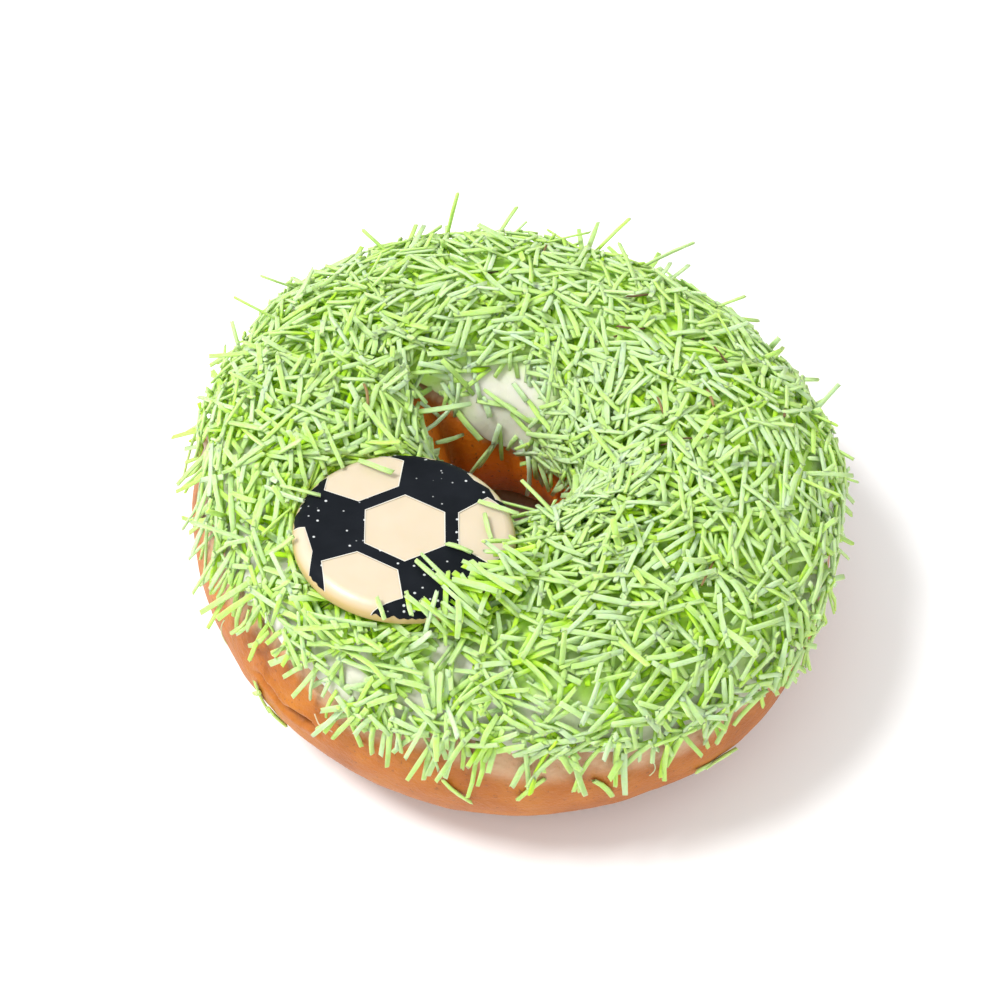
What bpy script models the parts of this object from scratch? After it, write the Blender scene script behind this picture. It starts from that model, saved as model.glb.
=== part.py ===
"""Ring doughnut with white icing, green shredded sprinkles and a round football decoration.

Run with: blender --background --python part.py
Units are metres, +Z is up, and the origin is on the floor in the middle of the ring.
"""

import itertools
import math
import random

import bmesh
import bpy
from mathutils import Matrix, Vector, noise

MM = 0.001

# Dough ring: a fried ring with a flat foot, a little longer along one diagonal
RING_RADIUS = 26.6 * MM  # axis to the crest
TUBE_HALF_WIDTH = 17.2 * MM
WAIST_HEIGHT = 15.4 * MM
RISE_ABOVE_WAIST = 17.1 * MM
DROP_BELOW_WAIST = 16.3 * MM  # more than the waist height, so the foot is flat
LONG_DIAGONAL = math.radians(-45)
LONG_DIAGONAL_SHARE = 0.045
SKIN_WAVE = 0.35 * MM
RING_SEGMENTS = 56
DOUGH_ROWS = 20

# Folds in the dough: one up the wall of the hole, one along the outer side
HOLE_FOLD_TURN = math.radians(131)
HOLE_FOLD_HALF_TURN = math.radians(6.5)
HOLE_FOLD_DEPTH = 1.5 * MM
SIDE_FOLD_TURN = math.radians(-130)
SIDE_FOLD_ANGLE = math.radians(11)
SIDE_FOLD_SIZE = (13.0 * MM, 3.0 * MM, 1.9 * MM)  # length, depth and width of the groove
SIDE_FOLD_SLOPE = math.radians(-14)

# Icing: a skin over the upper part, with the bed of shreds on it
GAP = 0.45 * MM  # between the dough and the icing
CLEARANCE = 0.35 * MM  # round the football disc
ICING_EDGE = 0.6 * MM
ICING_THICKNESS = 1.6 * MM
BED_THICKNESS = 1.5 * MM
BED_LUMP = 0.55 * MM
BED_LUMP_SIZE = 4.2 * MM
MOST_UNDER_DISC = 6.5 * MM
ICING_TOP_ROWS = 13
ICING_UNDER_ROWS = 9
OUTER_EDGE_ANGLE = math.radians(29)
INNER_EDGE_ANGLE = math.radians(24)

# Football disc: a chocolate disc that leans over the hole
DISC_RADIUS = 14.2 * MM
DISC_THICKNESS = 2.7 * MM
DISC_SHOULDER = 1.5 * MM
DISC_CENTRE = Vector((-13.2, -17.5, 37.4)) * MM  # middle of its top face
DISC_NORMAL = Vector((0.067, 0.131, 1.0)).normalized()
DISC_TURN = math.radians(1.7)
DISC_SEGMENTS = 48
PATTERN_DEPTH = 0.3 * MM
BALL_RADIUS = 17.1 * MM  # of the ball whose front the disc shows
PANEL_SHARE = 0.856  # of a panel inside its seams
SHOWN_PANEL_LEAN = 0.6  # least cosine between a shown panel and the disc's axis

# Shreds: flat strips with cut ends, the most upright ones and the longest ones
SHRED_LENGTHS = (5.2 * MM, 9.4 * MM)
SHRED_WIDTHS = (0.95 * MM, 1.3 * MM)
SHRED_THICKNESS = 0.55 * MM
PROUD_COUNT = 124
FRINGE_COUNT = 74
LYING_COUNT = 128
REACH = 46.9 * MM  # a shred's tip stays this near the axis
TALLEST = 41.5 * MM
HOLE_CLEAR_RADIUS = 7.0 * MM
SHRED_SEED = 7

# Low-discrepancy steps that spread points evenly round the ring, across it and in how likely they stay
STEP_ROUND = 0.8191725134
STEP_ACROSS = 0.6710436067
STEP_CHOICE = 0.5497004779


def clear_scene():
    for item in list(bpy.data.objects):
        bpy.data.objects.remove(item)


def new_collection(name):
    made = bpy.data.collections.new(name)
    bpy.context.scene.collection.children.link(made)
    return made


def move_to(item, collection):
    for holder in list(item.users_collection):
        holder.objects.unlink(item)
    collection.objects.link(item)


def material(name, colour, roughness):
    made = bpy.data.materials.new(name)
    made.use_nodes = True
    shader = made.node_tree.nodes["Principled BSDF"]
    shader.inputs["Base Color"].default_value = (*colour, 1.0)
    shader.inputs["Roughness"].default_value = roughness
    shader.inputs["Metallic"].default_value = 0.0
    return made


def apply_modifiers(item):
    """Turns the evaluated shape into the object's own mesh."""
    graph = bpy.context.evaluated_depsgraph_get()
    made = bpy.data.meshes.new_from_object(item.evaluated_get(graph))
    item.modifiers.clear()
    item.data = made


def bell(angle, middle, half_width):
    """1 at the middle, falling to 0 on both sides, round the circle."""
    apart = math.remainder(angle - middle, 2 * math.pi) / half_width
    return math.exp(-apart * apart)


def smooth_step(low, high, value):
    share = min(1.0, max(0.0, (value - low) / (high - low)))
    return share * share * (3 - 2 * share)


# The ring's skin: theta runs round the axis, phi round the tube from the outer waist up over the crest


def crest_radius(theta):
    return RING_RADIUS * (1 + LONG_DIAGONAL_SHARE * math.cos(2 * (theta - LONG_DIAGONAL)))


def skin_relief(theta, phi):
    """Slow swells of the dough above its flat foot, and the fold in the wall of the hole."""
    swell = math.sin(3 * theta + 0.6) + 0.7 * math.sin(5 * theta + 2 * phi) + 0.5 * math.cos(8 * theta - phi)
    inner = smooth_step(0.2, 0.9, -math.cos(phi))
    above_foot = smooth_step(-0.95, -0.5, math.sin(phi))
    fold = HOLE_FOLD_DEPTH * inner * bell(theta, HOLE_FOLD_TURN, HOLE_FOLD_HALF_TURN)
    return above_foot * (SKIN_WAVE * swell / 2 - fold)


def section_normal(phi):
    rise = RISE_ABOVE_WAIST if math.sin(phi) > 0 else DROP_BELOW_WAIST
    across, up = math.cos(phi) / TUBE_HALF_WIDTH, math.sin(phi) / rise
    length = math.hypot(across, up)
    return across / length, up / length


def skin_normal(theta, phi):
    across, up = section_normal(phi)
    return Vector((across * math.cos(theta), across * math.sin(theta), up))


def skin_point(theta, phi, out=0.0):
    """A point that lies the distance out above the dough's skin."""
    rise = RISE_ABOVE_WAIST if math.sin(phi) > 0 else DROP_BELOW_WAIST
    across, up = section_normal(phi)
    lift = out + skin_relief(theta, phi)
    radius = crest_radius(theta) + TUBE_HALF_WIDTH * math.cos(phi) + lift * across
    height = WAIST_HEIGHT + rise * math.sin(phi) + lift * up
    return Vector((radius * math.cos(theta), radius * math.sin(theta), max(0.0, height)))


def outer_edge(theta):
    """Where the icing ends on the outer side: lower on the right than on the left."""
    waves = 2.5 * math.cos(5 * theta + 1) + 2.0 * math.cos(9 * theta + 2.4) + 1.2 * math.cos(14 * theta)
    return OUTER_EDGE_ANGLE + math.radians(waves - 10 * math.cos(theta))


def inner_edge(theta):
    """Where the icing ends in the hole: it stays high at the back left and runs low beside that."""
    high = math.radians(36) * bell(theta, math.radians(138), math.radians(17))
    low = math.radians(12) * bell(theta, math.radians(75), math.radians(34))
    waves = math.radians(2.0) * math.cos(4 * theta + 0.7)
    return math.pi - (INNER_EDGE_ANGLE + high - low + waves)


def disc_frame():
    """The disc's place: its own Z is its axis, and the top face is at its Z = 0."""
    right = (Vector((1, 0, 0)) - DISC_NORMAL.x * DISC_NORMAL).normalized()
    axes = Matrix((right, DISC_NORMAL.cross(right), DISC_NORMAL)).transposed().to_4x4()
    return Matrix.Translation(DISC_CENTRE) @ axes @ Matrix.Rotation(DISC_TURN, 4, "Z")


TO_DISC = disc_frame().inverted()


def bed_by_disc(point, bed, rise):
    """The bed meets the underside of the disc, and stays low close round its rim."""
    flat = TO_DISC @ point
    away = math.hypot(flat.x, flat.y) - DISC_RADIUS
    below = max(0.0, -DISC_THICKNESS - flat.z) / max(rise, 0.5)
    under = min(below, MOST_UNDER_DISC) * (1 - smooth_step(-1.5 * MM, 1.8 * MM, away))
    return max(under, bed * smooth_step(0.3 * MM, 3.2 * MM, away))


def cover(theta, phi):
    """How thickly the shreds lie: thin where the icing runs into the hole at the back, piled in two places."""
    inside = smooth_step(math.radians(105), math.radians(128), phi)
    back = bell(theta, math.radians(84), math.radians(38))
    front = bell(theta, math.radians(-50), math.radians(42)) * bell(phi, math.radians(122), math.radians(34))
    left = bell(theta, math.radians(182), math.radians(30)) * bell(phi, math.radians(58), math.radians(30))
    return 1 - 0.85 * inside * back + 1.4 * front + 0.8 * left


def bed_height(theta, phi):
    """The icing's top above the dough's skin, with the bed of shreds."""
    share = (phi - outer_edge(theta)) / (inner_edge(theta) - outer_edge(theta))
    round_off = 1 - abs(2 * share - 1) ** 5
    point = skin_point(theta, phi, GAP + ICING_THICKNESS)
    lumps = BED_LUMP * noise.noise(point / BED_LUMP_SIZE)
    bed = bed_by_disc(point, (BED_THICKNESS + lumps) * cover(theta, phi), section_normal(phi)[1])
    return GAP + ICING_EDGE + (ICING_THICKNESS - ICING_EDGE + bed) * round_off


def torus(name, rows, place):
    """A torus primitive whose points are moved to place(theta, row)."""
    bpy.ops.mesh.primitive_torus_add(
        major_segments=RING_SEGMENTS,
        minor_segments=rows,
        major_radius=RING_RADIUS,
        minor_radius=TUBE_HALF_WIDTH,
    )
    made = bpy.context.object
    made.name = name
    for vertex in made.data.vertices:
        x, y, z = vertex.co
        theta = math.atan2(y, x)
        phi = math.atan2(z, math.hypot(x, y) - RING_RADIUS)
        vertex.co = place(theta, round(phi / (2 * math.pi) * rows) % rows)
    made.data.shade_smooth()
    return made


def make_dough(collection):
    dough = torus("dough", DOUGH_ROWS, lambda theta, row: skin_point(theta, 2 * math.pi * row / DOUGH_ROWS))
    move_to(dough, collection)
    dough.data.materials.append(material("dough_crust", (0.59, 0.28, 0.07), 0.5))
    return dough


def make_side_fold(cutters):
    """A slim lens that cuts the crease along the outer side."""
    bm = bmesh.new()
    bmesh.ops.create_uvsphere(bm, u_segments=8, v_segments=6, radius=0.5)
    bmesh.ops.scale(bm, vec=SIDE_FOLD_SIZE, verts=bm.verts)
    mesh = bpy.data.meshes.new("side_fold")
    bm.to_mesh(mesh)
    bm.free()
    fold = bpy.data.objects.new("side_fold", mesh)
    cutters.objects.link(fold)
    outward = skin_normal(SIDE_FOLD_TURN, SIDE_FOLD_ANGLE)
    along = Vector((-math.sin(SIDE_FOLD_TURN), math.cos(SIDE_FOLD_TURN), 0))
    axes = Matrix((along, outward, along.cross(outward))).transposed().to_4x4()
    place = Matrix.Translation(skin_point(SIDE_FOLD_TURN, SIDE_FOLD_ANGLE))
    fold.matrix_world = place @ axes @ Matrix.Rotation(SIDE_FOLD_SLOPE, 4, "Y")
    fold.hide_render = True
    fold.display_type = "WIRE"
    return fold


def icing_point(theta, row):
    """The section of the icing runs over its top from the outer edge, then back underneath."""
    low, high = outer_edge(theta), inner_edge(theta)
    if row < ICING_TOP_ROWS:
        phi = low + (high - low) * row / (ICING_TOP_ROWS - 1)
        return skin_point(theta, phi, bed_height(theta, phi))
    phi = high + (low - high) * (row - ICING_TOP_ROWS) / (ICING_UNDER_ROWS - 1)
    return skin_point(theta, phi, GAP)


def make_icing(collection):
    icing = torus("icing", ICING_TOP_ROWS + ICING_UNDER_ROWS, icing_point)
    move_to(icing, collection)
    icing.data.materials.append(material("icing_green", (0.46, 0.68, 0.22), 0.6))
    return icing


def basis(along, normal):
    """Axes with X along the shred and Z out of its flat face."""
    across = normal.cross(along).normalized()
    return Matrix((along, across, along.cross(across))).transposed()


def shred_box(root, along, normal, length, width):
    """The eight corners' matrix of a straight shred that starts at its root."""
    axes = basis(along, normal).to_4x4()
    middle = Matrix.Translation(root + along * length / 2)
    return middle @ axes @ Matrix.Diagonal((length, width, SHRED_THICKNESS, 1.0))


def clear_of_all(root, tip):
    """Whether a shred keeps inside the outline, out of the hole and off the disc."""
    for share in (0.0, 0.5, 1.0):
        point = root.lerp(tip, share)
        if point.z > TALLEST or math.hypot(point.x, point.y) < HOLE_CLEAR_RADIUS:
            return False
        flat = TO_DISC @ point
        if math.hypot(flat.x, flat.y) < DISC_RADIUS + 0.9 * MM and flat.z < 1.4 * MM:
            return False
    return math.hypot(tip.x, tip.y) < REACH


def spread_spots(count, low_share, high_share, first):
    """Spots spread evenly over the icing between two shares of its width, as (theta, phi)."""
    found = []
    for step in itertools.count(first):
        if len(found) == count:
            return found
        theta = 2 * math.pi * (step * STEP_ROUND % 1.0)
        share = low_share + (high_share - low_share) * (step * STEP_ACROSS % 1.0)
        phi = outer_edge(theta) + (inner_edge(theta) - outer_edge(theta)) * share
        fullness = (RING_RADIUS + TUBE_HALF_WIDTH * math.cos(phi)) / (RING_RADIUS + TUBE_HALF_WIDTH)
        if step * STEP_CHOICE % 1.0 < fullness * cover(theta, phi):
            found.append((theta, phi))


def tangents(theta, phi):
    """Unit vectors round the ring, down the outer side, and out of the skin."""
    out = skin_normal(theta, phi)
    round_way = Vector((-math.sin(theta), math.cos(theta), 0))
    return round_way, round_way.cross(out), out


def shred(draw, spot, sink, lean, heading):
    """The matrix of one shred rooted in the bed, or None where there is no room for it."""
    theta, phi = spot
    round_way, down, out = tangents(theta, phi)
    flat_way = math.cos(heading) * down + math.sin(heading) * round_way
    along = (math.cos(lean) * flat_way + math.sin(lean) * out).normalized()
    side = along.cross(out).normalized()
    twist = Matrix.Rotation(draw.uniform(-0.6, 0.6), 3, along)
    normal = twist @ side.cross(along)
    length = draw.uniform(*SHRED_LENGTHS)
    width = draw.uniform(*SHRED_WIDTHS)
    root = skin_point(theta, phi, bed_height(theta, phi) - sink)
    for _ in range(4):
        if clear_of_all(root, root + along * length):
            return shred_box(root, along, normal, length, width)
        length *= 0.82
    return None


def proud_shreds(draw):
    """Shreds that stand out of the bed at all angles."""
    for spot in spread_spots(PROUD_COUNT, 0.04, 0.93, 1):
        lean = math.radians(draw.uniform(14, 62))
        yield shred(draw, spot, 0.9 * MM, lean, draw.uniform(-math.pi, math.pi))


def fringe_shreds(draw):
    """Shreds that hang over the outer edge of the icing, and some over the edge in the hole."""
    for number, spot in enumerate(spread_spots(FRINGE_COUNT, 0.02, 0.10, 900)):
        theta, phi = spot
        heading = draw.gauss(0, 0.6)
        if number % 6 == 5:
            phi = inner_edge(theta) - (phi - outer_edge(theta))
            heading += math.pi
        yield shred(draw, (theta, phi), 0.35 * MM, math.radians(draw.uniform(-2, 10)), heading)


def lying_shreds(draw):
    """Shreds that lie on the bed, half sunk in it."""
    for spot in spread_spots(LYING_COUNT, 0.08, 0.94, 4000):
        yield shred(draw, spot, 0.1 * MM, math.radians(draw.uniform(3, 13)), draw.uniform(-math.pi, math.pi))


def all_shreds():
    draw = random.Random(SHRED_SEED)
    for matrix in itertools.chain(proud_shreds(draw), fringe_shreds(draw), lying_shreds(draw)):
        if matrix is not None:
            yield matrix


def make_shreds(heap):
    for number, matrix in enumerate(all_shreds()):
        bm = bmesh.new()
        bmesh.ops.create_cube(bm, size=1.0, matrix=matrix)
        mesh = bpy.data.meshes.new(f"shred_{number}")
        bm.to_mesh(mesh)
        bm.free()
        heap.objects.link(bpy.data.objects.new(f"shred_{number}", mesh))


def turned(name, profile, segments, collection):
    """A solid of revolution about its own Z, from a profile run down its outer side."""
    mesh = bpy.data.meshes.new(name)
    mesh.from_pydata(profile, [(i, i + 1) for i in range(len(profile) - 1)], [])
    made = bpy.data.objects.new(name, mesh)
    collection.objects.link(made)
    screw = made.modifiers.new("turn", "SCREW")
    screw.steps = screw.render_steps = segments
    screw.use_merge_vertices = True
    screw.merge_threshold = 0.00001
    screw.use_smooth_shade = True
    return made


def disc_profile(grow):
    """Half of the disc's section: a flat top, a round shoulder, a straight rim and a flat underside."""
    top, bottom = grow, -DISC_THICKNESS - grow
    rim, shoulder = DISC_RADIUS + grow, DISC_SHOULDER
    arc = [math.radians(90 - 22.5 * step) for step in range(5)]
    points = [(0.0, 0.0, top)]
    for angle in arc:
        points.append((rim - shoulder * (1 - math.cos(angle)), 0.0, top - shoulder * (1 - math.sin(angle))))
    points.append((rim, 0.0, bottom + 0.5 * MM))
    points.append((rim - 0.5 * MM, 0.0, bottom))
    points.append((0.0, 0.0, bottom))
    return points


def ball_corners():
    """The twelve pentagon middles of a football seen with a hexagon in front."""
    near = math.acos(math.sqrt((5 + 2 * math.sqrt(5)) / 15))
    far = math.acos(math.sqrt((5 - 2 * math.sqrt(5)) / 15))
    found = []
    for lean, first in ((near, 60), (far, 0), (math.pi - far, 60), (math.pi - near, 0)):
        for turn in (first, first + 120, first + 240):
            angle = math.radians(turn)
            flat = math.sin(lean)
            found.append(Vector((flat * math.cos(angle), flat * math.sin(angle), math.cos(lean))))
    return found


def ball_panels():
    """The hexagon panels on the front of the ball, inside their seams, as outlines on the disc."""
    neighbour = 1 / math.sqrt(5)
    for corners in itertools.combinations(ball_corners(), 3):
        touching = all(abs(a.dot(b) - neighbour) < 0.01 for a, b in itertools.combinations(corners, 2))
        middle = sum(corners, Vector()).normalized()
        if not touching or middle.z < SHOWN_PANEL_LEAN:
            continue
        outline = []
        for a, b in itertools.permutations(corners, 2):
            outline.append(middle.lerp((2 * a + b).normalized(), PANEL_SHARE) * BALL_RADIUS)
        around = Vector((middle.x, middle.y, 0)) * BALL_RADIUS
        outline.sort(key=lambda p: math.atan2(p.y - around.y, p.x - around.x))
        yield outline


def panel_cutter(number, outline, cutters):
    """A hexagonal prism that sinks one pale panel into the disc's dark top."""
    bm = bmesh.new()
    floor = [bm.verts.new((p.x, p.y, -PATTERN_DEPTH)) for p in outline]
    face = bm.faces.new(floor)
    raised = bmesh.ops.extrude_face_region(bm, geom=[face])["geom"]
    bmesh.ops.translate(bm, vec=(0, 0, 2 * MM), verts=[v for v in raised if isinstance(v, bmesh.types.BMVert)])
    bmesh.ops.recalc_face_normals(bm, faces=bm.faces)
    mesh = bpy.data.meshes.new(f"panel_{number}")
    bm.to_mesh(mesh)
    bm.free()
    cutter = bpy.data.objects.new(f"panel_{number}", mesh)
    cutters.objects.link(cutter)
    cutter.matrix_world = disc_frame()
    cutter.hide_render = True
    cutter.display_type = "WIRE"


def make_disc(collection, cutters):
    disc = turned("football_disc", disc_profile(0.0), DISC_SEGMENTS, collection)
    disc.matrix_world = disc_frame()
    disc.data.materials.append(material("chocolate_disc", (0.95, 0.86, 0.62), 0.35))
    for number, outline in enumerate(ball_panels()):
        panel_cutter(number, outline, cutters)
    cut = disc.modifiers.new("pattern", "BOOLEAN")
    cut.operation = "DIFFERENCE"
    cut.operand_type = "COLLECTION"
    cut.collection = cutters
    return disc


def keep_largest_shell(item):
    """Drops loose scraps and fills sealed hollows by keeping only the outer surface."""
    bm = bmesh.new()
    bm.from_mesh(item.data)
    left = set(bm.verts)
    shells = []
    while left:
        shell, edge = set(), [left.pop()]
        while edge:
            vertex = edge.pop()
            shell.add(vertex)
            linked = {e.other_vert(vertex) for e in vertex.link_edges} & left
            left -= linked
            edge.extend(linked)
        shells.append(shell)
    largest = max(shells, key=len)
    bmesh.ops.delete(bm, geom=[v for v in bm.verts if v not in largest], context="VERTS")
    bm.to_mesh(item.data)
    bm.free()


def fuse_shreds(icing, cutters):
    """Joins the shreds to the icing, then frees the space round the disc."""
    heap = new_collection("shreds")
    make_shreds(heap)
    join = icing.modifiers.new("shreds", "BOOLEAN")
    join.operation = "UNION"
    join.operand_type = "COLLECTION"
    join.collection = heap
    join.solver = "MANIFOLD"
    room = turned("disc_room", disc_profile(CLEARANCE), DISC_SEGMENTS, cutters)
    room.matrix_world = disc_frame()
    room.hide_render = True
    room.display_type = "WIRE"
    free = icing.modifiers.new("disc_room", "BOOLEAN")
    free.operation = "DIFFERENCE"
    free.object = room
    free.solver = "MANIFOLD"
    apply_modifiers(icing)
    bpy.data.objects.remove(room)
    for item in list(heap.objects):
        bpy.data.objects.remove(item)
    bpy.data.collections.remove(heap)
    keep_largest_shell(icing)


def main():
    clear_scene()
    collection = new_collection("sprinkle_frosted_doughnut")
    cutters = new_collection("cutters")
    panel_cutters = new_collection("panel_cutters")
    dough = make_dough(collection)
    crease = dough.modifiers.new("side_fold", "BOOLEAN")
    crease.operation = "DIFFERENCE"
    crease.object = make_side_fold(cutters)
    make_disc(collection, panel_cutters)
    icing = make_icing(collection)
    fuse_shreds(icing, cutters)


main()
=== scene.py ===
"""Dressed model of a ring doughnut: baked dough, white icing, green shreds and a chocolate football disc.

Metres, +Z up, in the frame of the CAD model. Everything scattered comes from seeded draws.
"""

import itertools
import random
from collections import namedtuple
from math import acos, atan2, copysign, cos, exp, hypot, pi, radians, remainder, sin, sqrt, tan, tau

import bmesh
import bpy
import numpy as np
from mathutils import Matrix, Vector, noise


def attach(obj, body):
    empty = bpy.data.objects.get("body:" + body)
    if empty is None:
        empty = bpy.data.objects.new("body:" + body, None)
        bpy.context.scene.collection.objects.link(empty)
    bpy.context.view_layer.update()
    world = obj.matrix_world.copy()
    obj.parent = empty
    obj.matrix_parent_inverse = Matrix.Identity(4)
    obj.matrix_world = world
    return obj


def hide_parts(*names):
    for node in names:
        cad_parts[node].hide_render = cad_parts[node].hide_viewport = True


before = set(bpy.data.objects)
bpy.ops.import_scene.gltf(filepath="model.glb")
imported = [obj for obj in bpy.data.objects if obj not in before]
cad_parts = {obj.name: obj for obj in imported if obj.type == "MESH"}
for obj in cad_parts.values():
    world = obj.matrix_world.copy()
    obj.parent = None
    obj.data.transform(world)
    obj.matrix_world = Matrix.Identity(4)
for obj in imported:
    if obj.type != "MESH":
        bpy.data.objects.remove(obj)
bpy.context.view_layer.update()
SCENE = bpy.context.scene

MM = 0.001

# Sizes of the solids, as in the CAD model
RING_RADIUS = 26.6 * MM
TUBE_HALF_WIDTH = 17.2 * MM
WAIST_HEIGHT = 15.4 * MM
RISE_ABOVE_WAIST = 17.1 * MM
DROP_BELOW_WAIST = 16.3 * MM
LONG_DIAGONAL = radians(-45)
LONG_DIAGONAL_SHARE = 0.045
SKIN_WAVE = 0.35 * MM
HOLE_FOLD_TURN = radians(131)
HOLE_FOLD_HALF_TURN = radians(6.5)
HOLE_FOLD_DEPTH = 1.5 * MM
GAP = 0.45 * MM
ICING_EDGE = 0.6 * MM
ICING_THICKNESS = 1.6 * MM
BED_THICKNESS = 1.5 * MM
BED_LUMP = 0.55 * MM
BED_LUMP_SIZE = 4.2 * MM
MOST_UNDER_DISC = 6.5 * MM
OUTER_EDGE_ANGLE = radians(29)
INNER_EDGE_ANGLE = radians(24)
DISC_RADIUS = 14.2 * MM
DISC_THICKNESS = 2.7 * MM
DISC_CENTRE = Vector((-13.2, -17.5, 37.4)) * MM
DISC_NORMAL = Vector((0.067, 0.131, 1.0)).normalized()
DISC_TURN = radians(1.7)
BALL_RADIUS = 17.1 * MM
PANEL_SHARE = 0.856
SHRED_LENGTHS = (5.2 * MM, 9.4 * MM)
SHRED_WIDTHS = (0.95 * MM, 1.3 * MM)
PROUD_COUNT = 124
FRINGE_COUNT = 74
LYING_COUNT = 128
REACH = 46.9 * MM
TALLEST = 41.5 * MM
HOLE_CLEAR_RADIUS = 7.0 * MM
SHRED_SEED = 7
STEP_ROUND = 0.8191725134
STEP_ACROSS = 0.6710436067
STEP_CHOICE = 0.5497004779

# Fine shapes that only the dressed model has
DOUGH_COLUMNS, DOUGH_ROWS = 480, 156
ICING_COLUMNS, ICING_TOP_ROWS, ICING_UNDER_ROWS = 400, 44, 16
PILE_TRIALS = 9000
LEAST_LAYERS = 2
MOST_ABOVE_BED = 2.4 * MM
STRAND_WIDTHS = (0.60 * MM, 0.84 * MM)
STRAND_LENGTHS = (4.6 * MM, 10.2 * MM)
USUAL_LENGTH = 8.0 * MM
STRAND_THICKNESS = 0.34 * MM
STRAND_STATIONS = 3
STRAND_SECTION = ((-1, 0), (-0.78, -1), (0.78, -1), (1, 0), (0.78, 1), (-0.78, 1))
# How deep in the pile the painted shade of the shreds is full
DEEPEST = 1.2 * MM
DISC_MARGIN = 0.22 * MM
PRINT_HEIGHT = 0.06 * MM
SHARPEST = radians(35)
INNER_SHARE, OUTER_SHARE = PANEL_SHARE - 0.02, PANEL_SHARE + 0.004
SHOULDER_ACROSS, SHOULDER_DOWN = 2.1 * MM, 1.7 * MM
RIM_PANELS = (
    ((-12.6, -0.4), (-11.5, -4.6), (-11.9, -8.6), (-16, -9.5), (-17, 0.5)),
    ((1.2, 13.5), (3.4, 12.6), (5.6, 13.0), (6, 17), (1, 17)),
    ((8.0, 10.4), (8.9, 8.9), (10.8, 7.7), (11.6, 5.6), (17, 5), (14, 14)),
    ((3.2, -13.6), (5.0, -12.6), (7.6, -12.4), (9, -17), (3, -17)),
)


# The camera of the photograph

CAMERA_ELEVATION = radians(53)
CAMERA_DISTANCE = 326 * MM
CAMERA_TARGET = Vector((0, 0, 16 * MM))
LENS_MM, SENSOR_MM = 85, 36
FRAME_PIXELS = 1000
FRAME_OFFSET = (9.5, 19.5)  # pixels right of and below the middle of the frame


def make_camera():
    data = bpy.data.cameras.new("camera")
    data.lens = LENS_MM
    data.sensor_width = SENSOR_MM
    data.clip_start = 0.01
    data.clip_end = 20
    camera = link("camera", data)
    ahead = Vector((0, cos(CAMERA_ELEVATION), -sin(CAMERA_ELEVATION)))
    upward = Vector((0, sin(CAMERA_ELEVATION), cos(CAMERA_ELEVATION)))
    camera.location = CAMERA_TARGET - ahead * CAMERA_DISTANCE
    pixel = CAMERA_DISTANCE * SENSOR_MM / LENS_MM / FRAME_PIXELS
    aim = CAMERA_TARGET - Vector((1, 0, 0)) * FRAME_OFFSET[0] * pixel + upward * FRAME_OFFSET[1] * pixel
    camera.rotation_euler = (aim - camera.location).to_track_quat("-Z", "Y").to_euler()
    SCENE.camera = camera


# Shapes that the CAD model shares


def clamp(value, most=1.0):
    return min(most, max(0.0, value))


def bell(angle, middle, half_width):
    """1 at the middle, falling to 0 on both sides, round the circle."""
    apart = remainder(angle - middle, tau) / half_width
    return exp(-apart * apart)


def bell_at(angle, middle, half_width):
    """The same, with the middle and the half width in degrees."""
    return bell(angle, radians(middle), radians(half_width))


def smooth_step(low, high, value):
    share = min(1.0, max(0.0, (value - low) / (high - low)))
    return share * share * (3 - 2 * share)


def crest_radius(theta):
    return RING_RADIUS * (1 + LONG_DIAGONAL_SHARE * cos(2 * (theta - LONG_DIAGONAL)))


def skin_relief(theta, phi):
    """Slow swells of the dough above its flat foot, and the fold in the wall of the hole."""
    swell = sin(3 * theta + 0.6) + 0.7 * sin(5 * theta + 2 * phi) + 0.5 * cos(8 * theta - phi)
    inner = smooth_step(0.2, 0.9, -cos(phi))
    above_foot = smooth_step(-0.95, -0.5, sin(phi))
    fold = HOLE_FOLD_DEPTH * inner * bell(theta, HOLE_FOLD_TURN, HOLE_FOLD_HALF_TURN)
    return above_foot * (SKIN_WAVE * swell / 2 - fold)


def section_normal(phi):
    rise = RISE_ABOVE_WAIST if sin(phi) > 0 else DROP_BELOW_WAIST
    across, up = cos(phi) / TUBE_HALF_WIDTH, sin(phi) / rise
    length = hypot(across, up)
    return across / length, up / length


def skin_normal(theta, phi):
    across, up = section_normal(phi)
    return Vector((across * cos(theta), across * sin(theta), up))


def skin_point(theta, phi, out=0.0):
    """A point that lies the distance out above the dough's skin."""
    rise = RISE_ABOVE_WAIST if sin(phi) > 0 else DROP_BELOW_WAIST
    across, up = section_normal(phi)
    lift = out + skin_relief(theta, phi)
    radius = crest_radius(theta) + TUBE_HALF_WIDTH * cos(phi) + lift * across
    height = WAIST_HEIGHT + rise * sin(phi) + lift * up
    return Vector((radius * cos(theta), radius * sin(theta), max(0.0, height)))


def outer_edge(theta):
    waves = 2.5 * cos(5 * theta + 1) + 2.0 * cos(9 * theta + 2.4) + 1.2 * cos(14 * theta)
    return OUTER_EDGE_ANGLE + radians(waves - 10 * cos(theta))


def inner_edge(theta):
    high = radians(36) * bell_at(theta, 138, 17)
    low = radians(12) * bell_at(theta, 75, 34)
    waves = radians(2.0) * cos(4 * theta + 0.7)
    return pi - (INNER_EDGE_ANGLE + high - low + waves)


def disc_frame():
    """The disc's place: its own Z is its axis, and the top face is at its Z = 0."""
    right = (Vector((1, 0, 0)) - DISC_NORMAL.x * DISC_NORMAL).normalized()
    axes = Matrix((right, DISC_NORMAL.cross(right), DISC_NORMAL)).transposed().to_4x4()
    return Matrix.Translation(DISC_CENTRE) @ axes @ Matrix.Rotation(DISC_TURN, 4, "Z")


TO_DISC = disc_frame().inverted()


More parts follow.
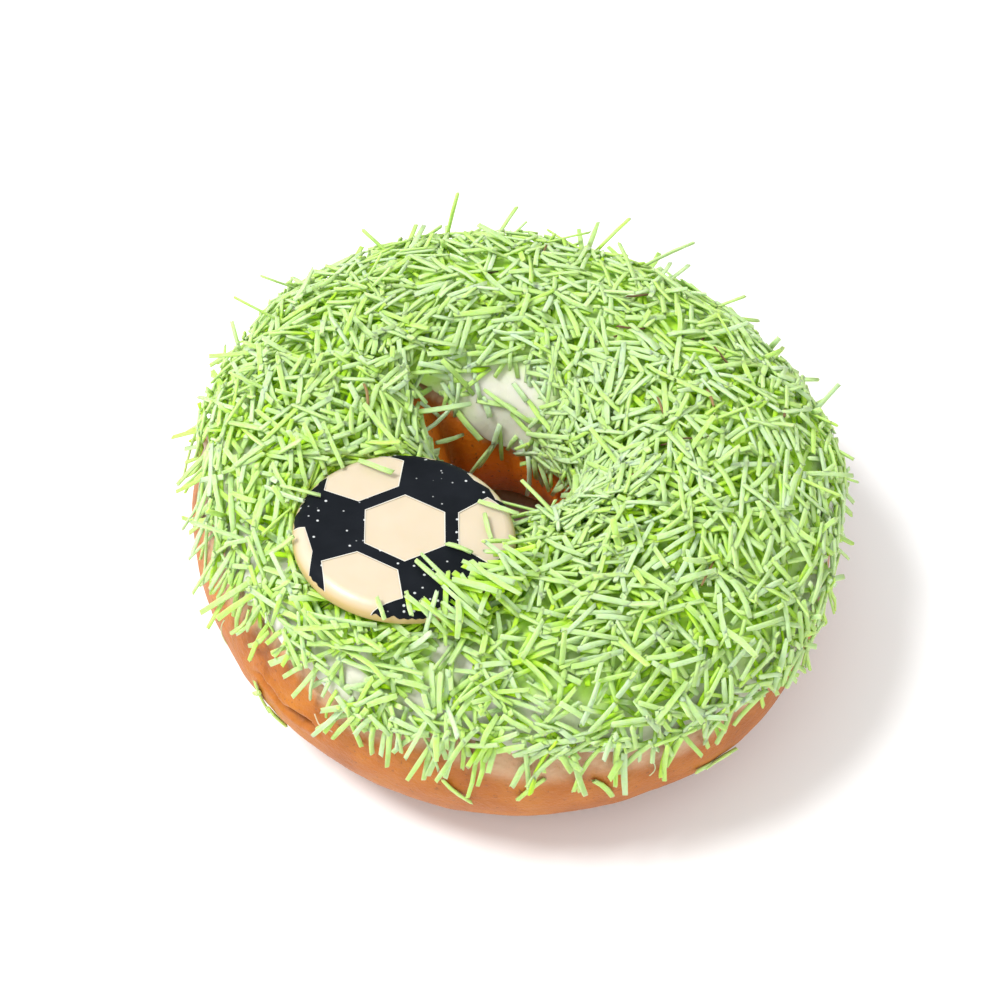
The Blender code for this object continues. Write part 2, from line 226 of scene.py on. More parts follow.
def bed_by_disc(point, bed, rise):
    """The bed meets the underside of the disc, and stays low close round its rim."""
    flat = TO_DISC @ point
    away = hypot(flat.x, flat.y) - DISC_RADIUS
    below = max(0.0, -DISC_THICKNESS - flat.z) / max(rise, 0.5)
    under = min(below, MOST_UNDER_DISC) * (1 - smooth_step(-1.5 * MM, 1.8 * MM, away))
    return max(under, bed * smooth_step(0.3 * MM, 3.2 * MM, away))


def cover(theta, phi):
    """How thickly the shreds lie: thin where the icing runs into the hole at the back, high in two places."""
    inside = smooth_step(radians(105), radians(128), phi)
    back = bell_at(theta, 84, 38)
    front = bell_at(theta, -50, 42) * bell_at(phi, 122, 34)
    left = bell_at(theta, 182, 30) * bell_at(phi, 58, 30)
    return 1 - 0.85 * inside * back + 1.4 * front + 0.8 * left


def round_off(theta, phi):
    share = (phi - outer_edge(theta)) / (inner_edge(theta) - outer_edge(theta))
    return 1 - min(1.0, abs(2 * share - 1)) ** 5


def bed_height(theta, phi):
    """The icing's top above the dough's skin, with the bed of shreds."""
    point = skin_point(theta, phi, GAP + ICING_THICKNESS)
    lumps = BED_LUMP * noise.noise(point / BED_LUMP_SIZE)
    bed = bed_by_disc(point, (BED_THICKNESS + lumps) * cover(theta, phi), section_normal(phi)[1])
    return GAP + ICING_EDGE + (ICING_THICKNESS - ICING_EDGE + bed) * round_off(theta, phi)


def icing_height(theta, phi):
    """The top of the icing alone."""
    return GAP + ICING_EDGE + (ICING_THICKNESS - ICING_EDGE) * round_off(theta, phi)


def clear_of_all(root, tip):
    for share in (0.0, 0.5, 1.0):
        point = root.lerp(tip, share)
        if point.z > TALLEST or hypot(point.x, point.y) < HOLE_CLEAR_RADIUS:
            return False
        flat = TO_DISC @ point
        if hypot(flat.x, flat.y) < DISC_RADIUS + 0.9 * MM and flat.z < 1.4 * MM:
            return False
    return hypot(tip.x, tip.y) < REACH


def even_spot(step, low_share, span):
    """The step's spot in an even spread over the icing, and how full the ring is there."""
    theta = tau * (step * STEP_ROUND % 1.0)
    share = low_share + span * (step * STEP_ACROSS % 1.0)
    phi = outer_edge(theta) + (inner_edge(theta) - outer_edge(theta)) * share
    return theta, phi, (RING_RADIUS + TUBE_HALF_WIDTH * cos(phi)) / (RING_RADIUS + TUBE_HALF_WIDTH)


def spread_spots(count, low_share, high_share, first):
    found = []
    for step in itertools.count(first):
        if len(found) == count:
            return found
        theta, phi, fullness = even_spot(step, low_share, high_share - low_share)
        if step * STEP_CHOICE % 1.0 < fullness * cover(theta, phi):
            found.append((theta, phi))


def tangents(theta, phi):
    """Unit vectors round the ring, down the outer side, and out of the skin."""
    out = skin_normal(theta, phi)
    round_way = Vector((-sin(theta), cos(theta), 0))
    return round_way, round_way.cross(out), out


def leaning(theta, phi, heading, lean):
    """A direction by its heading along the skin and its lean out of it, and the skin's normal."""
    round_way, down, out = tangents(theta, phi)
    flat_way = cos(heading) * down + sin(heading) * round_way
    return (cos(lean) * flat_way + sin(lean) * out).normalized(), out


def shred(draw, spot, sink, lean, heading):
    """One of the CAD model's shreds as (root, direction, flat face's normal, length, width), or None."""
    theta, phi = spot
    along, out = leaning(theta, phi, heading, lean)
    twist = Matrix.Rotation(draw.uniform(-0.6, 0.6), 3, along)
    normal = twist @ along.cross(out).normalized().cross(along)
    length = draw.uniform(*SHRED_LENGTHS)
    width = draw.uniform(*SHRED_WIDTHS)
    root = skin_point(theta, phi, bed_height(theta, phi) - sink)
    for _ in range(4):
        if clear_of_all(root, root + along * length):
            return root, along, normal, length, width
        length *= 0.82
    return None


def proud_shreds(draw):
    for spot in spread_spots(PROUD_COUNT, 0.04, 0.93, 1):
        lean = radians(draw.uniform(14, 62))
        yield shred(draw, spot, 0.9 * MM, lean, draw.uniform(-pi, pi))


def fringe_shreds(draw):
    for number, spot in enumerate(spread_spots(FRINGE_COUNT, 0.02, 0.10, 900)):
        theta, phi = spot
        heading = draw.gauss(0, 0.6)
        if number % 6 == 5:
            phi = inner_edge(theta) - (phi - outer_edge(theta))
            heading += pi
        yield shred(draw, (theta, phi), 0.35 * MM, radians(draw.uniform(-2, 10)), heading)


def lying_shreds(draw):
    for spot in spread_spots(LYING_COUNT, 0.08, 0.94, 4000):
        yield shred(draw, spot, 0.1 * MM, radians(draw.uniform(3, 13)), draw.uniform(-pi, pi))


def cad_shreds():
    draw = random.Random(SHRED_SEED)
    for found in itertools.chain(proud_shreds(draw), fringe_shreds(draw), lying_shreds(draw)):
        if found is not None:
            yield found


# Mesh helpers


def link(name, data):
    made = bpy.data.objects.new(name, data)
    SCENE.collection.objects.link(made)
    return made


def mesh_object(name, points, faces, values=None):
    """A mesh with named values on its points, smooth where it has any."""
    mesh = bpy.data.meshes.new(name)
    mesh.from_pydata(points, [], faces)
    if values:
        for key, numbers in values.items():
            mesh.attributes.new(key, "FLOAT", "POINT").data.foreach_set("value", numbers)
        mesh.shade_smooth()
    mesh.update()
    return link(name, mesh)


def ring_mesh(name, columns, rows, place, values):
    """A closed tube round the ring: place(theta, row) gives a point, and the values are functions of both."""
    points, samples = [], {key: [] for key in values}
    for column in range(columns):
        theta = tau * column / columns
        for row in range(rows):
            points.append(place(theta, row))
            for key, value in values.items():
                samples[key].append(value(theta, row))
    faces = []
    for column in range(columns):
        here, there = column * rows, (column + 1) % columns * rows
        for row in range(rows):
            after = (row + 1) % rows
            faces.append((here + row, there + row, there + after, here + after))
    return mesh_object(name, points, faces, samples)


# Dough

CREASE_START = (radians(-141), radians(8))
CREASE_END = (radians(-125), radians(4))
CREASE_DEPTH = 2.3 * MM
CREASE_HALF_WIDTH = 0.55 * MM


def crease(theta, phi):
    """(share of full depth, share of the swollen lips) of the crease along the outer side."""
    share = (theta - CREASE_START[0]) / (CREASE_END[0] - CREASE_START[0])
    if not -0.25 < share < 1.25:
        return 0.0, 0.0
    centre = CREASE_START[1] + share * (CREASE_END[1] - CREASE_START[1])
    centre += radians(1.6) * sin(9 * share) + radians(0.7) * sin(23 * share)
    off = (phi - centre) * TUBE_HALF_WIDTH / CREASE_HALF_WIDTH
    run = smooth_step(-0.12, 0.3, share) * (1 - smooth_step(0.85, 1.12, share))
    wide = 0.75 + 0.7 * bell(share, 0.74, 0.16)
    groove = exp(-((off / wide) ** 2)) * run * (0.55 + 0.6 * bell(share, 0.74, 0.14))
    lips = (exp(-((off - 2.3) ** 2) / 1.6) + 0.6 * exp(-((off + 2.6) ** 2) / 2.2)) * run
    return groove, lips


def dough_relief(theta, phi):
    """Small uneven swells, shallow wrinkles and the crease."""
    point = skin_point(theta, phi)
    small = 0.10 * MM * noise.noise(point / (2.6 * MM)) + 0.16 * MM * noise.noise(point / (7.0 * MM))
    stretched = Vector((point.x, point.y, point.z * 3.2))
    wrinkle = abs(noise.noise(stretched / (5.0 * MM) + Vector((3, 1, 7))))
    low = smooth_step(0.3, -0.25, -phi) if phi < pi / 2 else 0.0
    small -= 0.10 * MM * (1 - smooth_step(0.0, 0.10, wrinkle)) * (0.35 + 0.65 * low)
    groove, lips = crease(remainder(theta, tau), remainder(phi, tau))
    foot = smooth_step(-0.95, -0.6, sin(phi))
    return foot * (small - CREASE_DEPTH * groove + 0.35 * MM * lips)


def under_icing(theta, phi):
    """Whether the icing covers the spot: 1 well under it, 0 clear of it."""
    outside = smooth_step(outer_edge(theta) - 0.05, outer_edge(theta) + 0.12, phi)
    inside = 1 - smooth_step(inner_edge(theta) - 0.12, inner_edge(theta) + 0.05, phi)
    return outside * inside


def dough_row_angle(row):
    """Rows lie closer together on the outer waist, where the crease is."""
    turn = tau * row / DOUGH_ROWS
    return turn - 0.55 * sin(turn - radians(9))


def from_below(phi):
    """The same angle, counted on from straight below: -90 to 270 degrees."""
    return remainder(phi - pi / 2, tau) + pi / 2


def dough_point(theta, row):
    phi = dough_row_angle(row)
    in_the_open = 1 - under_icing(theta, from_below(phi))
    return skin_point(theta, phi, dough_relief(theta, phi) * in_the_open)


def glaze_value(theta, row):
    """How much thin sugar glaze has run over the dough below the icing's edge."""
    phi = from_below(dough_row_angle(row))
    if phi < pi / 2:
        drop = outer_edge(theta) - phi
        reach = radians(17 + 5 * sin(4 * theta + 1) + 3 * sin(11 * theta))
    else:
        drop = phi - inner_edge(theta)
        reach = radians(5 + 2 * sin(6 * theta))
    return 1 - smooth_step(0.45 * reach, reach, drop)


def crust_shade_value(theta, row):
    """How dark the crust is: partly deeper baking and partly painted shade, most in the hole, the creases and
    the fold and on the low outer side, least on the outer waist.
    """
    phi = dough_row_angle(row)
    inner = smooth_step(-0.2, 0.8, -cos(phi))
    low = smooth_step(0.35, 0.95, -sin(phi))
    groove = crease(remainder(theta, tau), remainder(phi, tau))[0]
    fold = inner * bell(theta, HOLE_FOLD_TURN, HOLE_FOLD_HALF_TURN * 1.4)
    deep = smooth_step(0.0, 0.75, -sin(phi))
    return min(1.0, 0.7 * inner * deep + 0.45 * low * (1 - inner) + 1.3 * groove + 0.7 * fold)


# Painted light: 1 on the inner side of the ring, the wall of the hole, where the dough's colour is lifted to
# a brighter orange because little light reaches it
def painted_hole_light_value(_, row):
    return smooth_step(0.1, 0.8, -cos(dough_row_angle(row)))


def make_dough():
    values = {"glaze": glaze_value, "crust_shade": crust_shade_value, "hole": painted_hole_light_value}
    dough = ring_mesh("dough_crust", DOUGH_COLUMNS, DOUGH_ROWS, dough_point, values)
    dough.data.materials.append(dough_material())
    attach(dough, "root")
    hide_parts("dough")


# Icing


def fine_icing_point(theta, row):
    low, high = outer_edge(theta), inner_edge(theta)
    low += radians(1.1 * sin(17 * theta) + 0.8 * sin(31 * theta + 2))
    if row < ICING_TOP_ROWS:
        phi = low + (high - low) * (0.5 - 0.5 * cos(pi * row / (ICING_TOP_ROWS - 1)))
        point = skin_point(theta, phi)
        waves = 0.16 * MM * noise.noise(point / (5.5 * MM)) * round_off(theta, phi)
        return skin_point(theta, phi, icing_height(theta, phi) + waves)
    phi = high + (low - high) * (row - ICING_TOP_ROWS + 0.5) / ICING_UNDER_ROWS
    return skin_point(theta, phi, GAP * 0.45)


def painted_green_value(theta, row):
    """Painted light: how green the icing under the shreds is painted, for the light that comes through them;
    not near its outer edge or where it lies bare.
    """
    share = min(1.0, row / (ICING_TOP_ROWS - 1))
    low, high = outer_edge(theta), inner_edge(theta)
    phi = low + (high - low) * (0.5 - 0.5 * cos(pi * share))
    green_share = smooth_step(0.0, radians(34), phi - low) * (1 - bare(theta, phi)) * (1 - thin(theta, phi))
    return green_share * (1 - smooth_step(radians(140), radians(160), phi))


def make_icing():
    rows = ICING_TOP_ROWS + ICING_UNDER_ROWS
    icing = ring_mesh("icing_sheet", ICING_COLUMNS, rows, fine_icing_point, {"painted_green": painted_green_value})
    icing.data.materials.append(icing_material())
    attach(icing, "root")
    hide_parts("icing")


# The pile of shreds: heights above the skin on a grid round the ring and across the tube

ROUND_CELLS, ACROSS_CELLS = 400, 112
LOW_PHI, HIGH_PHI = radians(-16), radians(174)


def cell(theta, phi):
    column = int(theta % tau / tau * ROUND_CELLS) % ROUND_CELLS
    row = int((phi - LOW_PHI) / (HIGH_PHI - LOW_PHI) * ACROSS_CELLS)
    return column, min(ACROSS_CELLS - 1, max(0, row))


def cell_middle(column, row):
    theta = tau * (column + 0.5) / ROUND_CELLS
    return theta, LOW_PHI + (HIGH_PHI - LOW_PHI) * (row + 0.5) / ACROSS_CELLS


def locate(point):
    """A point as (theta, phi, height above the skin)."""
    theta = atan2(point.y, point.x)
    across = (hypot(point.x, point.y) - crest_radius(theta)) / TUBE_HALF_WIDTH
    up = point.z - WAIST_HEIGHT
    up /= RISE_ABOVE_WAIST if up > 0 else DROP_BELOW_WAIST
    phi = atan2(up, across)
    if phi < -pi / 2:
        phi += tau
    return theta, phi, (hypot(across, up) - 1) * TUBE_HALF_WIDTH - skin_relief(theta, phi)


def in_disc(point, beside, below, above):
    """Whether a point is in the disc or within the margins round it."""
    flat = TO_DISC @ point
    return hypot(flat.x, flat.y) <= DISC_RADIUS + beside and -DISC_THICKNESS - below < flat.z < above


def disc_span(theta, phi):
    """The heights above the skin between which the disc lies, or None."""
    base = skin_point(theta, phi)
    inside = []
    for step in range(68):
        height = step * 0.22 * MM
        if in_disc(base + skin_normal(theta, phi) * height, 0.3 * MM, 0.25 * MM, 0.12 * MM):
            inside.append(height)
    return (inside[0], inside[-1]) if inside else None


def pile_level(theta, phi):
    """How high the flat shreds lie: in clumps, and under the CAD model's bed, as others stick out of them."""
    clump = 0.6 * MM * noise.noise(skin_point(theta, phi) / (7.5 * MM))
    back = bell_at(theta, 72, 48)
    back *= 1 - smooth_step(radians(85), radians(125), phi)
    return bed_height(theta, phi) - (0.85 + 1.1 * back + 0.5 * thin(theta, phi)) * MM + clump


def bare(theta, phi):
    """1 where the icing on the back wall of the hole shows, 0 where shreds cover it."""
    return min(1.0, 1.25 * bell_at(theta, 94, 37)) * smooth_step(radians(118), radians(134), phi)


def thin(theta, phi):
    """1 in the small patches on the front left shoulder where the icing shows between the shreds."""
    left = bell_at(theta, -150, 46) * bell_at(phi, 56, 26)
    front = bell_at(theta, -98, 26) * bell_at(phi, 52, 18)
    patch = smooth_step(0.02, 0.22, noise.noise(skin_point(theta, phi) / (3.4 * MM)))
    return min(1.0, 1.2 * left + front) * patch


class Pile:
    """The heights of the pile, and the strands laid on it so far."""

    def __init__(self):
        self.height = np.zeros((ROUND_CELLS, ACROSS_CELLS))
        self.ceiling = np.full((ROUND_CELLS, ACROSS_CELLS), 1.0)
        self.layers = np.zeros((ROUND_CELLS, ACROSS_CELLS), int)
        self.bed = np.zeros((ROUND_CELLS, ACROSS_CELLS))
        self.disc_top = {}
        self.strands = []
        for column in range(ROUND_CELLS):
            for row in range(ACROSS_CELLS):
                theta, phi = cell_middle(column, row)
                self.bed[column, row] = pile_level(theta, phi)
                if outer_edge(theta) < phi < inner_edge(theta):
                    self.height[column, row] = icing_height(theta, phi)
                if row % 2 == 0:
                    span = disc_span(theta, phi)
                if span is not None:
                    self.ceiling[column, row] = span[0]
                    self.disc_top[column, row] = span[1]

    def lay(self, points, normals, width, shade):
        self.strands.append(Strand(points, normals, width, STRAND_THICKNESS, shade))

    def close_disc(self):
        """From now on shreds land on top of the disc."""
        for (column, row), top in self.disc_top.items():
            self.height[column, row] = top
        self.ceiling[:] = 1.0

    def profile(self, base, along, length):
        """Where a straight shred through the base may not sink: (distance along it, least height) pairs."""
        found = []
        for step in range(-6, 7):
            s = length / 2 * step / 6
            theta, phi, height = locate(base + along * s)
            found.append((s, self.height[cell(theta, phi)] - height))
        return found

    def resting_line(self, profile):
        """The height and slope of a shred that lies on the highest points on both sides of its middle."""
        best = (-1.0, 0.0)
        left = [p for p in profile if p[0] <= 0]
        right = [p for p in profile if p[0] > 0]
        for a, b in itertools.product(left, right):
            slope = (b[1] - a[1]) / (b[0] - a[0])
            best = max(best, (a[1] - slope * a[0], slope))
        height, slope = best
        if abs(slope) > 0.6:
            slope = copysign(0.6, slope)
            height = max(need - slope * s for s, need in profile)
        return height, slope

    def raise_along(self, points):
        touched = set()
        for point in points:
            theta, phi, height = locate(point)
            where = cell(theta, phi)
            touched.add(where)
            if self.height[where] < height < self.height[where] + 3 * MM:
                self.height[where] = height
        for where in touched:
            self.layers[where] += 1


# A bent strip: its middle line, the normals of its flat face, its width, thickness and shade
Strand = namedtuple("Strand", "points normals width thickness shade")


def allowed(points):
    """Whether a strand keeps inside the CAD model's box, out of the hole and off the disc."""
    for point in points:
        away = hypot(point.x, point.y)
        if away > REACH or away < HOLE_CLEAR_RADIUS or point.z > TALLEST:
            return False
        if in_disc(point, DISC_MARGIN, DISC_MARGIN, DISC_MARGIN):
            return False
    return True


def bent_line(draw, middle, along, normal, length, bend):
    """Points along a strand that bends in its flat plane and out of it."""
    side = normal.cross(along)
    sway = draw.gauss(0, 0.022) * length
    curl = bend * length
    points, normals = [], []
    for step in range(STRAND_STATIONS + 1):
        s = step / STRAND_STATIONS - 0.5
        arch = 0.25 - s * s
        points.append(middle + along * (length * s) + side * (sway * arch * 4) + normal * (curl * arch * 4))
        normals.append(normal)
    return points, normals


def face_normal(draw, along, out, spread):
    """A normal of a strip's flat face: the nearest to out, turned about the strip by chance."""
    roll = Matrix.Rotation(draw.gauss(0, spread), 3, along)
    return roll @ (out - along * out.dot(along)).normalized()


def rest_strand(pile, draw, theta, phi, heading, length, shade, lift=0.0, on_disc=False):
    """Lays a strand on the pile at the spot, and lifts its far end by the angle."""
    round_way, down, out = tangents(theta, phi)
    along = cos(heading) * down + sin(heading) * round_way
    base = skin_point(theta, phi)
    height, slope = pile.resting_line(pile.profile(base, along, length))
    tilted = (along + out * slope).normalized()
    pivot = -0.3 * length
    base += tilted * pivot
    tilted = (tilted + out * tan(lift)).normalized()
    base -= tilted * pivot
    normal = face_normal(draw, tilted, out, 0.38)
    middle = base + out * (height + STRAND_THICKNESS * 0.4)
    points, normals = bent_line(draw, middle, tilted, normal, length, draw.gauss(0.012, 0.016))
    if not allowed(points):
        return False
    for point in points:
        theta, phi, height = locate(point)
        if pile.ceiling[cell(theta, phi)] < height + 0.3 * MM:
            return False
        if not on_disc and height > pile.bed[cell(theta, phi)] + MOST_ABOVE_BED:
            return False
    width = draw.uniform(*STRAND_WIDTHS)
    pile.lay(points, normals, width, shade)
    side = normal.cross(tilted)
    top = out * STRAND_THICKNESS * 0.5
    reach = 14 if lift < 0.1 else 6
    steps = [length * (k / 14 - 0.5) for k in range(reach + 1)]
    pile.raise_along(middle + tilted * s + side * w * width + top for s in steps for w in (-0.3, 0.3))
    return True


def lay_anywhere(pile, draw, theta, phi):
    """One shred at the spot, in any direction, its far end raised where it lies near the top."""
    below = pile.bed[cell(theta, phi)] - pile.height[cell(theta, phi)]
    depth = clamp(below / (1.6 * MM))
    shade = clamp(draw.gauss(0.76, 0.09), 0.95)
    length = draw.triangular(*STRAND_LENGTHS, USUAL_LENGTH)
    lift = abs(draw.gauss(0, radians(19))) if depth < 0.6 else 0.0
    heading = draw.uniform(-pi, pi)
    if not rest_strand(pile, draw, theta, phi, heading, length, shade, lift):
        rest_strand(pile, draw, theta, phi, heading + pi / 2, 0.7 * length, shade)


def lay_pile(pile, draw):
    """Shreds fall evenly until the pile is nearly as high as the CAD model's bed, then where it is thin."""
    for step in range(PILE_TRIALS):
        theta, phi, fullness = even_spot(step, 0.02, 0.96)
        if step * STEP_CHOICE % 1.0 > fullness:
            continue
        if draw.random() < max(0.95 * bare(theta, phi), 0.7 * thin(theta, phi)):
            continue
        level = max(pile.bed[cell(theta, phi)], 0.6 * MM + icing_height(theta, phi))
        if pile.height[cell(theta, phi)] < level:
            lay_anywhere(pile, draw, theta, phi)
    spots = list(itertools.product(range(ROUND_CELLS), range(ACROSS_CELLS)))
    for least in range(1, LEAST_LAYERS + 1):
        draw.shuffle(spots)
        for column, row in spots:
            if pile.layers[column, row] >= least:
                continue
            theta, phi = cell_middle(column, row)
            inside = outer_edge(theta) + 0.02 < phi < inner_edge(theta) - 0.02
            if inside and max(bare(theta, phi), 0.6 * thin(theta, phi)) < 0.3:
                lay_anywhere(pile, draw, theta, phi)


def lay_cad_shreds(pile, draw):
    """The CAD model's own shreds, in their places."""
    for root, along, normal, length, width in cad_shreds():
        middle = root + along * length / 2
        points, normals = bent_line(draw, middle, along, normal, length, draw.gauss(0, 0.010))
        shade = clamp(draw.gauss(0.72, 0.10))
        pile.lay(points, normals, 0.68 * width, shade)


PROUD_EXTRA = 900


def lay_proud(pile, draw):
    """More shreds that stick out of the pile, most of them at low angles."""
    for theta, phi in spread_spots(PROUD_EXTRA, 0.03, 0.96, 9000):
        heading = draw.uniform(-pi, pi)
        along, out = leaning(theta, phi, heading, radians(draw.triangular(8, 74, 28)))
        normal = face_normal(draw, along, out, 0.5)
        length = draw.triangular(4.0 * MM, 8.8 * MM, 6.2 * MM)
        root = skin_point(theta, phi, pile.height[cell(theta, phi)] - draw.uniform(1.0, 3.0) * MM)
        if draw.random() < bare(theta, phi):
            continue
        middle = root + along * length / 2
        points, normals = bent_line(draw, middle, along, normal, length, draw.gauss(0.0, 0.025))
        tip_theta, tip_phi, tip_height = locate(points[-1])
        low = tip_height < pile.bed[cell(tip_theta, tip_phi)] + draw.uniform(2.4, 4.6) * MM
        if low and allowed(points):
            shade = clamp(draw.gauss(0.72, 0.10))
            pile.lay(points, normals, draw.uniform(*STRAND_WIDTHS), shade)


def draped_strand(pile, draw, start, heading, length, heights, shade):
    """A strand that follows the skin's curve: heights are above the skin at its root, middle and tip."""
    theta, phi = start
    points, normals = [], []
    turn = draw.gauss(0, 0.16)
    for step in range(STRAND_STATIONS + 1):
        share = step / STRAND_STATIONS
        way = heading + turn * (share - 0.5) * 2
        low, middle, high = heights
        height = low + (4 * middle - 3 * low - high) * share + 2 * (low + high - 2 * middle) * share * share
        points.append(skin_point(theta, phi, height))
        normals.append(skin_normal(theta, phi))
        radius = crest_radius(theta) + TUBE_HALF_WIDTH * cos(phi)
        phi -= cos(way) * length / STRAND_STATIONS / TUBE_HALF_WIDTH
        theta += sin(way) * length / STRAND_STATIONS / radius
    twist = Matrix.Rotation(draw.gauss(0, 0.4), 3, (points[-1] - points[0]).normalized())
    normals = [twist @ n for n in normals]
    if allowed(points):
        pile.lay(points, normals, draw.uniform(*STRAND_WIDTHS), shade)


FRINGE_STRANDS, HOLE_FRINGE_STRANDS = 190, 40


def lay_fringe(pile, draw):
    """Shreds that hang over the edges of the icing, close to the dough."""
    for number in range(FRINGE_STRANDS):
        theta = tau * (number + draw.random()) / FRINGE_STRANDS
        phi = outer_edge(theta) + radians(draw.uniform(-1, 10))
        start = pile.height[cell(theta, phi)] + 0.3 * MM
        heights = (start, draw.uniform(0.8, 1.8) * MM, draw.uniform(0.4, 2.7) * MM)
        length = draw.triangular(4.4 * MM, 9.4 * MM, 6.8 * MM)
        length *= 1 - 0.55 * bell_at(theta, -132, 13)
        length *= 1 - 0.35 * bell_at(theta, -42, 18)
        shade = clamp(draw.gauss(0.68, 0.12))
        draped_strand(pile, draw, (theta, phi), draw.gauss(0, 0.45), length, heights, shade)
    for number in range(HOLE_FRINGE_STRANDS):
        theta = tau * (number + draw.random()) / HOLE_FRINGE_STRANDS
        phi = inner_edge(theta) - radians(draw.uniform(0, 12))
        if draw.random() > cover(theta, phi) + 0.25:
            continue
        start = pile.height[cell(theta, phi)] + 0.3 * MM
        heights = (start, draw.uniform(0.8, 1.6) * MM, draw.uniform(0.5, 1.4) * MM)
        length = draw.triangular(3.2 * MM, 7.5 * MM, 5.0 * MM)
        heading = pi + draw.gauss(0, 0.8)
        draped_strand(pile, draw, (theta, phi), heading, length, heights, draw.gauss(0.7, 0.1))


# Single shreds stuck on the dough: turn, angle and heading in degrees, length in mm
STUCK = (
    (-140.5, 4, 12, 6.5),
    (-139.0, 1, -35, 5.0),
    (-137.5, -8, 8, 6.0),
    (-57.0, -12, 62, 7.5),
    (-55.0, -15, 80, 5.5),
    (-84.0, 15, -40, 5.0),
    (-101.0, 9, 50, 5.5),
    (-76.0, 11, 25, 5.0),
)


def lay_stuck(pile, draw):
    for turn, angle, heading, length in STUCK:
        start = (radians(turn), radians(angle))
        heights = (0.45 * MM, 0.3 * MM, 0.5 * MM)
        draped_strand(pile, draw, start, radians(heading), length * MM, heights, draw.gauss(0.6, 0.1))


# Shreds over the back wall of the hole: where the photograph shows both ends, in its 1000 pixel frame,
# and how far in mm they stand off the skin there
AT_HOLE = (
    ((398, 402), (425, 435), 2.0, 1.6),
    ((455, 402), (423, 432), 1.8, 1.4),
    ((442, 383), (460, 408), 2.2, 1.6),
    ((420, 403), (440, 418), 2.6, 1.8),
    ((437, 443), (463, 435), 1.2, 1.4),
    ((500, 425), (493, 447), 2.2, 1.6),
    ((520, 440), (543, 485), 1.5, 0.9),
    ((528, 457), (527, 495), 2.4, 1.4),
    ((567, 440), (547, 473), 2.8, 1.8),
    ((568, 465), (552, 495), 1.5, 0.9),
    ((572, 467), (598, 492), 2.4, 1.8),
    ((580, 480), (565, 493), 2.2, 1.6),
    ((513, 383), (527, 402), 2.5, 2.5),
    ((527, 360), (530, 387), 2.7, 2.5),
    ((533, 382), (570, 387), 2.6, 2.9),
    ((540, 407), (547, 435), 2.5, 2.4),
    ((483, 397), (490, 417), 2.4, 2.4),
    ((457, 373), (507, 350), 2.6, 3.2),
    ((556, 412), (548, 440), 2.8, 2.5),
    ((474, 372), (480, 398), 2.4, 2.5),
)


RAY_STEPS, RAY_STEP_MM = 600, 0.2
LONGEST_AT_HOLE = 14 * MM


def seen_at(x, y, height):
    """The point that far above the skin which the camera sees at the pixel, or None."""
    pixel = SENSOR_MM / LENS_MM / FRAME_PIXELS
    middle = FRAME_PIXELS / 2
    turn = SCENE.camera.rotation_euler.to_matrix()
    ray = (turn @ Vector(((x - middle) * pixel, (middle - y) * pixel, -1))).normalized()
    for step in range(RAY_STEPS):
        away = CAMERA_DISTANCE + (step - RAY_STEPS / 2) * RAY_STEP_MM * MM
        point = SCENE.camera.location + ray * away
        if locate(point)[2] < height:
            return point
    return None


def lay_at_hole(pile, draw):
    """Single shreds that hang over the wall of the hole or lie on the icing there."""
    for start, end, near, far in AT_HOLE:
        root, tip = seen_at(*start, near * MM), seen_at(*end, far * MM)
        along = (tip - root).normalized()
        theta, phi, _ = locate((root + tip) / 2)
        normal = face_normal(draw, along, skin_normal(theta, phi), 0.3)
        length = (tip - root).length
        points, normals = bent_line(draw, (root + tip) / 2, along, normal, length, 0.03)
        if length < LONGEST_AT_HOLE and allowed(points):
            # Painted light: a paler shade than the pile's, so that these strands, which hang in the shadow of
            # the hole and below the pile's top, come out pale
            shade = draw.gauss(1.0, 0.08)
            pile.lay(points, normals, draw.uniform(*STRAND_WIDTHS), shade)


OVER_DISC_TRIALS = 130

# Shreds that lie across the disc: both ends in mm in the plane of its top, X right and Y to the back
ACROSS_DISC = (
    (1.4, -6.2, 5.2, -10.9),
    (2.1, -5.0, 6.0, -10.2),
    (5.2, -3.1, 8.3, -4.7),
    (-3.4, -12.6, -2.4, -15.9),
    (0.2, -11.4, 0.9, -15.6),
    (9.4, 4.7, 14.3, 2.4),
    (10.1, 2.2, 10.9, -2.0),
    (-5.9, 11.4, -1.7, 9.1),
    (-15.8, 6.4, -10.9, 4.6),
    (7.2, -6.0, 11.8, -9.4),
    (4.0, -8.2, 8.8, -12.4),
)


